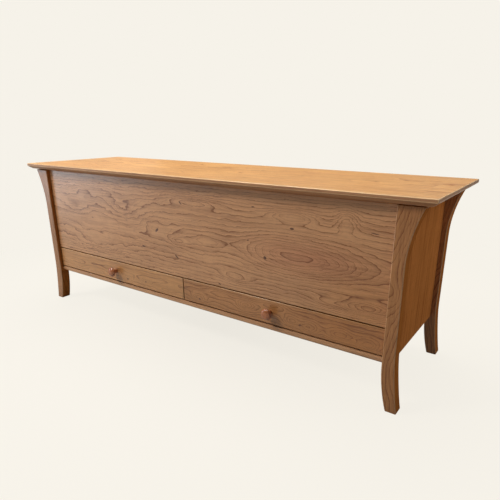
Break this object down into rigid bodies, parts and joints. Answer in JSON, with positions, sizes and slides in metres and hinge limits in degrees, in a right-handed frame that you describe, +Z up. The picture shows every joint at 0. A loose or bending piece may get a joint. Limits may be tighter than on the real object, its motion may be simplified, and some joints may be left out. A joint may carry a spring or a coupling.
{
  "type": "blanket chest",
  "caption": "Long low blanket chest: flared board legs, overhanging hinged lid, blanket space above a row of shallow drawers with turned knobs.",
  "frame": {"origin": "on the floor, under the centre of the chest's overall box", "axes": "+Z up, +X along the chest's length to the right of someone who faces it, +Y from its front to its back"},
  "size_m": [1.4594, 0.4182, 0.52],
  "materials": {
    "cherry_lid": "satin oiled",
    "cherry_panel": "satin oiled",
    "cherry_leg": "satin oiled",
    "cherry_end": "satin oiled",
    "cherry_drawer": "satin oiled",
    "cherry_knob": "satin oiled",
    "inside_wood": "planed, unfinished",
    "drawer_box_wood": "planed, waxed",
    "floor_ply": "sanded veneer ply",
    "hinge_brass": "satin",
    "felt": "matt felt"
  },
  "bodies": {
    "chest": {"leg_front_left": "cherry_leg", "leg_front_right": "cherry_leg", "leg_rear_left": "cherry_leg", "leg_rear_right": "cherry_leg", "front_panel": "cherry_panel", "back_panel": "cherry_panel", "end_panel_left": "cherry_end", "end_panel_right": "cherry_end", "front_rail": "cherry_drawer", "chest_floor": "floor_ply", "drawer_divider": "inside_wood", "runner_left_inner": "inside_wood", "runner_left_outer": "inside_wood", "runner_right_inner": "inside_wood", "runner_right_outer": "inside_wood", "kicker_left_inner": "inside_wood", "kicker_left_outer": "inside_wood", "kicker_right_inner": "inside_wood", "kicker_right_outer": "inside_wood", "drawer_stop_left_inner": "inside_wood", "drawer_stop_left_outer": "inside_wood", "drawer_stop_right_inner": "inside_wood", "drawer_stop_right_outer": "inside_wood", "lid_pad_left": "felt", "lid_pad_right": "felt", "hinge_left_body_leaf": "hinge_brass", "hinge_middle_body_leaf": "hinge_brass", "hinge_right_body_leaf": "hinge_brass", "hinge_left_pin": "hinge_brass", "hinge_middle_pin": "hinge_brass", "hinge_right_pin": "hinge_brass"},
    "lid": {"lid_panel": "cherry_lid", "lid_batten_left": "inside_wood", "lid_batten_right": "inside_wood", "hinge_left_lid_leaf": "hinge_brass", "hinge_middle_lid_leaf": "hinge_brass", "hinge_right_lid_leaf": "hinge_brass"},
    "drawer_left": {"drawer_left_front": "cherry_drawer", "drawer_left_side_inner": "drawer_box_wood", "drawer_left_side_outer": "drawer_box_wood", "drawer_left_back": "drawer_box_wood", "drawer_left_bottom": "floor_ply", "drawer_left_knob": "cherry_knob"},
    "drawer_right": {"drawer_right_front": "cherry_drawer", "drawer_right_side_inner": "drawer_box_wood", "drawer_right_side_outer": "drawer_box_wood", "drawer_right_back": "drawer_box_wood", "drawer_right_bottom": "floor_ply", "drawer_right_knob": "cherry_knob"}
  },
  "joints": [
    {"name": "lid_hinge", "type": "hinge", "parent": "chest", "child": "lid", "pos_m": [0, 0.2059, 0.50005], "axis": [-1, 0, 0], "range_deg": [0, 95]},
    {"name": "drawer_left_slide", "type": "slide", "parent": "chest", "child": "drawer_left", "axis": [0, -1, 0], "range_m": [0, 0.26]},
    {"name": "drawer_right_slide", "type": "slide", "parent": "chest", "child": "drawer_right", "axis": [0, -1, 0], "range_m": [0, 0.26]}
  ]
}
